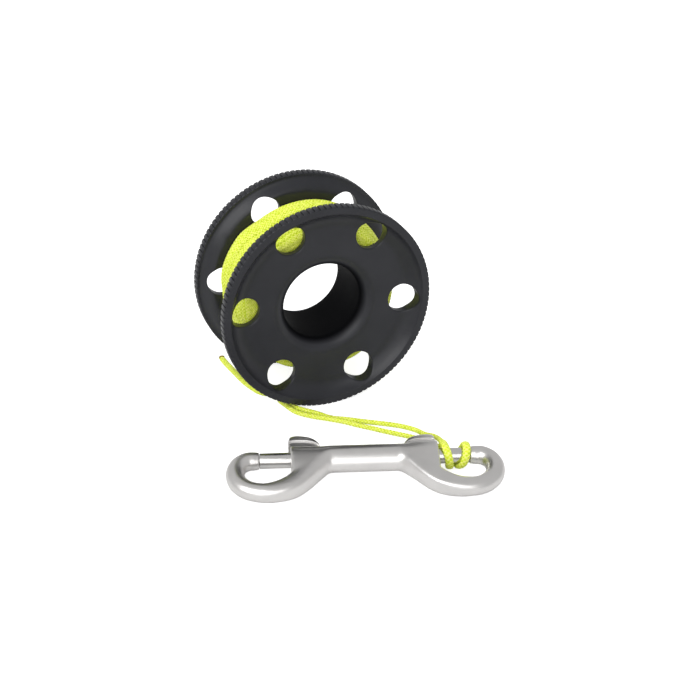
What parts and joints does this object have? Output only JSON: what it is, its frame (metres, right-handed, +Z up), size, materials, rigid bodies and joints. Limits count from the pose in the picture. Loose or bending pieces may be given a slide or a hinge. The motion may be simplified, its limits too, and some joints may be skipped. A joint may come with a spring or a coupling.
{
  "type": "finger spool",
  "caption": "Black finger spool with knurled rims and round flange holes, wound with bright braided line, with a double-ended bolt snap of satin steel tied to the line's loop",
  "frame": {"origin": "on the floor, straight under the middle of the spool, which stands on its two rims", "axes": "+Y along the spool's axis towards its back, -Y towards its front, +X to the right seen from the front, +Z up"},
  "size_m": [0.0928, 0.1222, 0.08],
  "materials": {
    "spool_plastic": "black moulded acetal, satin",
    "line": "bright yellow-green braided nylon",
    "snap_steel": "cast stainless steel, tumbled satin",
    "spring_steel": "drawn spring wire"
  },
  "bodies": {
    "snap": {"snap_body": "snap_steel", "left_spring": "spring_steel", "right_spring": "spring_steel", "line_lead": "line", "line_knot": "line", "line_loop": "line", "line_tail": "line"},
    "spool": {"spool_body": "spool_plastic", "line_core": "line", "line_winding": "line"},
    "left_plunger": {"left_bolt": "snap_steel", "left_thumb_stud": "snap_steel"},
    "right_plunger": {"right_bolt": "snap_steel", "right_thumb_stud": "snap_steel"}
  },
  "joints": [
    {"name": "spool_spin", "type": "hinge", "parent": "snap", "child": "spool", "pos_m": [0, 0, 0.04], "axis": [0, -1, 0], "continuous": true},
    {"name": "left_bolt_slide", "type": "slide", "parent": "snap", "child": "left_plunger", "axis": [0.9466, -0.3223, 0], "range_m": [0, 0.0106], "stiffness_N_per_m": 300, "springref_m": -0.003, "deforming": ["left_spring"]},
    {"name": "right_bolt_slide", "type": "slide", "parent": "snap", "child": "right_plunger", "axis": [-0.9466, 0.3223, 0], "range_m": [0, 0.0106], "stiffness_N_per_m": 300, "springref_m": -0.003, "deforming": ["right_spring"]}
  ]
}
